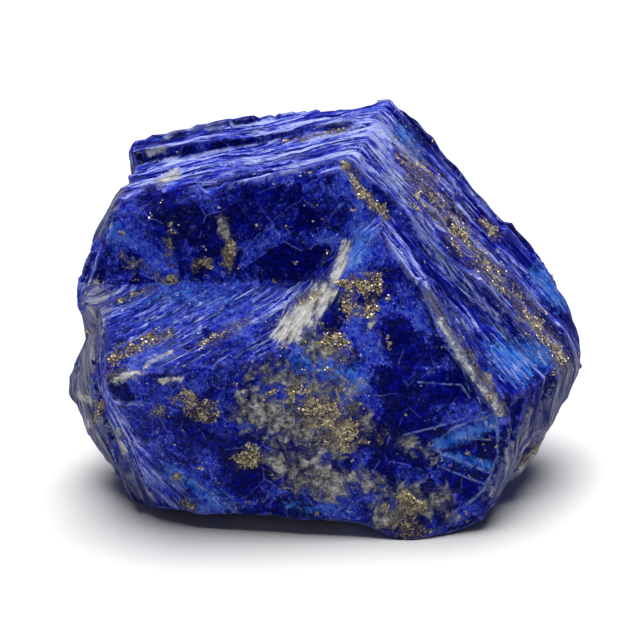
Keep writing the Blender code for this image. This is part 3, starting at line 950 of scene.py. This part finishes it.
def pyrite_material():
    net = Net("pyrite")
    tone = net.noise(net.millimetres(), 1.5, 3.0, 0.6)
    net.put(net.surface.inputs["Base Color"], net.ramp(tone, PYRITE_TONES))
    net.surface.inputs["Metallic"].default_value = 1.0
    net.put(net.surface.inputs["Roughness"], net.step(tone, 0.3, 0.7, 0.36, 0.6))
    return net.material


# Pyrite crystals

GRAIN_COUNT, GRAIN_SEED = 15500, 5
SMALLEST_GRAIN, GRAIN_RANGE = 0.07, 0.12     # half widths
CLEAR_OF_FLOOR = 0.8


def pyrite_wish(points, along, depth, across, share):
    """How much pyrite each point asks for: clumped, and drawn out along the sheets."""
    streaks = ripple(np.column_stack([along / 1.6, depth / 0.8]), 1.0, 73)
    clumps = 0.6 * across * streaks + (1.0 - across) * ripple(points, 1.3, 71)
    return 1.1 * share + 0.75 * clumps + 0.55 * ripple(points, 0.6, 72)


def crystal_places(rng, points, triangles, wish, across):
    """Where the crystals sit, a little sunk in, and their half widths."""
    corners = points[triangles]
    cross = np.cross(corners[:, 1] - corners[:, 0], corners[:, 2] - corners[:, 0])
    area = np.linalg.norm(cross, axis=1) / 2
    out = cross / np.maximum(2 * area, 1e-12)[:, None]
    stray = ripple(points, 3.0, 74)[triangles].mean(axis=1) > 0.3
    wish = soft_step(wish[triangles].mean(axis=1), 0.60, 0.95) + 0.003 * stray
    chance = area * wish * (points[triangles, 2].min(axis=1) > CLEAR_OF_FLOOR)
    picked = rng.choice(len(triangles), size=GRAIN_COUNT, p=chance / chance.sum())
    blend = rng.dirichlet((1.0, 1.0, 1.0), GRAIN_COUNT)
    hearts = (corners[picked] * blend[:, :, None]).sum(axis=1)
    size = SMALLEST_GRAIN + GRAIN_RANGE * rng.random(GRAIN_COUNT) ** 2.2
    size = size * (1.0 - 0.3 * across[triangles[picked, 0]])
    sunk = size * rng.uniform(0.0, 0.5, GRAIN_COUNT)
    return hearts - out[picked] * sunk[:, None], size


def turned_cubes(rng, hearts, size):
    """The eight corners of each crystal: a worn cube, stretched and turned by chance."""
    count = len(hearts)
    cube = np.array([(x, y, z) for x in (-1, 1) for y in (-1, 1) for z in (-1, 1)], float)
    spin = rng.normal(size=(count, 4))
    spin = spin / np.linalg.norm(spin, axis=1, keepdims=True)
    w, x, y, z = spin.T
    turn = np.array([
        [1 - 2 * (y * y + z * z), 2 * (x * y - w * z), 2 * (x * z + w * y)],
        [2 * (x * y + w * z), 1 - 2 * (x * x + z * z), 2 * (y * z - w * x)],
        [2 * (x * z - w * y), 2 * (y * z + w * x), 1 - 2 * (x * x + y * y)],
    ]).transpose(2, 0, 1)
    stretch = size[:, None] * rng.uniform(0.7, 1.15, (count, 3))
    local = cube[None] * stretch[:, None, :] * rng.uniform(0.8, 1.0, (count, 8, 1))
    return np.einsum("nij,nkj->nki", turn, local) + hearts[:, None, :]


def pyrite_grains(name, stone_mesh, points, wish, across):
    """Small crystals where the pyrite marks are, joined in one mesh."""
    rng = np.random.default_rng(GRAIN_SEED)
    triangles = np.empty(len(stone_mesh.polygons) * 3, np.int64)
    stone_mesh.polygons.foreach_get("vertices", triangles)
    hearts, size = crystal_places(rng, points, triangles.reshape(-1, 3), wish, across)
    verts = turned_cubes(rng, hearts, size).reshape(-1, 3) * MM
    quads = [(0, 1, 3, 2), (4, 6, 7, 5), (0, 4, 5, 1), (2, 3, 7, 6), (0, 2, 6, 4), (1, 5, 7, 3)]
    faces = [tuple(8 * n + k for k in quad) for n in range(len(hearts)) for quad in quads]
    crystals = bpy.data.meshes.new(name)
    crystals.from_pydata(verts.tolist(), [], faces)
    crystals.update()
    piece = bpy.data.objects.new(name, crystals)
    bpy.context.scene.collection.objects.link(piece)
    return piece


stone.data.materials.append(stone_material())
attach(stone, "root")
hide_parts("lapis_lazuli")

wish = pyrite_wish(points, along, depth, across, marks["pyrite"])
grains = pyrite_grains("pyrite_grains", mesh, points, wish, across)
grains.data.materials.append(pyrite_material())
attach(grains, "root")


# Floor, light and camera

# Here lengths are in metres
FLOOR_SIZE, FLOOR_WHITE = 6.0, 0.66
SUN_DIRECTION, SUN_STRENGTH, SUN_DEGREES = (0.015, -0.13, -1.0), 5.5, 52.0
WINDOW_PLACE, WINDOW_AIM, WINDOW_SIZE, WINDOW_WATTS = (-0.45, -0.65, 0.40), (0, 0, 0.03), 0.25, 0.15
AMBIENT = 0.05
CLIP_START = 0.01


def pale_floor():
    bpy.ops.mesh.primitive_plane_add(size=FLOOR_SIZE, location=(0, 0, 0))
    floor = bpy.context.object
    floor.name = "floor"
    net = Net("floor_white")
    net.surface.inputs["Base Color"].default_value = (FLOOR_WHITE, FLOOR_WHITE, FLOOR_WHITE, 1)
    net.surface.inputs["Roughness"].default_value = 0.8
    floor.data.materials.append(net.material)


def softbox(name, place, aim, size, watts):
    lamp = bpy.data.lights.new(name, "AREA")
    lamp.shape = "SQUARE"
    lamp.size = size
    lamp.energy = watts
    holder = bpy.data.objects.new(name, lamp)
    holder.location = place
    direction = Vector(aim) - Vector(place)
    holder.rotation_euler = direction.to_track_quat("-Z", "Y").to_euler()
    bpy.context.scene.collection.objects.link(holder)


def soft_sun(name, towards, strength, degrees):
    """A wide, even light from far away, so the floor stays one pale tone."""
    lamp = bpy.data.lights.new(name, "SUN")
    lamp.energy = strength
    lamp.angle = math.radians(degrees)
    holder = bpy.data.objects.new(name, lamp)
    holder.rotation_euler = Vector(towards).to_track_quat("-Z", "Y").to_euler()
    bpy.context.scene.collection.objects.link(holder)


pale_floor()
soft_sun("overhead", SUN_DIRECTION, SUN_STRENGTH, SUN_DEGREES)
softbox("front_window", WINDOW_PLACE, WINDOW_AIM, WINDOW_SIZE, WINDOW_WATTS)

world = bpy.data.worlds.new("studio")
bpy.context.scene.world = world
world.use_nodes = True
background = world.node_tree.nodes["Background"]
background.inputs[0].default_value = (1, 1, 1, 1)
background.inputs[1].default_value = AMBIENT
bpy.context.scene.view_settings.view_transform = "Standard"

camera_data = bpy.data.cameras.new("camera")
camera_data.lens = LENS
camera_data.sensor_width = SENSOR
camera_data.clip_start = CLIP_START
camera = bpy.data.objects.new("camera", camera_data)
camera.location = Vector((EYE - SHIFT) * MM)
direction = Vector((AIM - EYE) * MM)
camera.rotation_euler = direction.to_track_quat("-Z", "Y").to_euler()
bpy.context.scene.collection.objects.link(camera)
bpy.context.scene.camera = camera
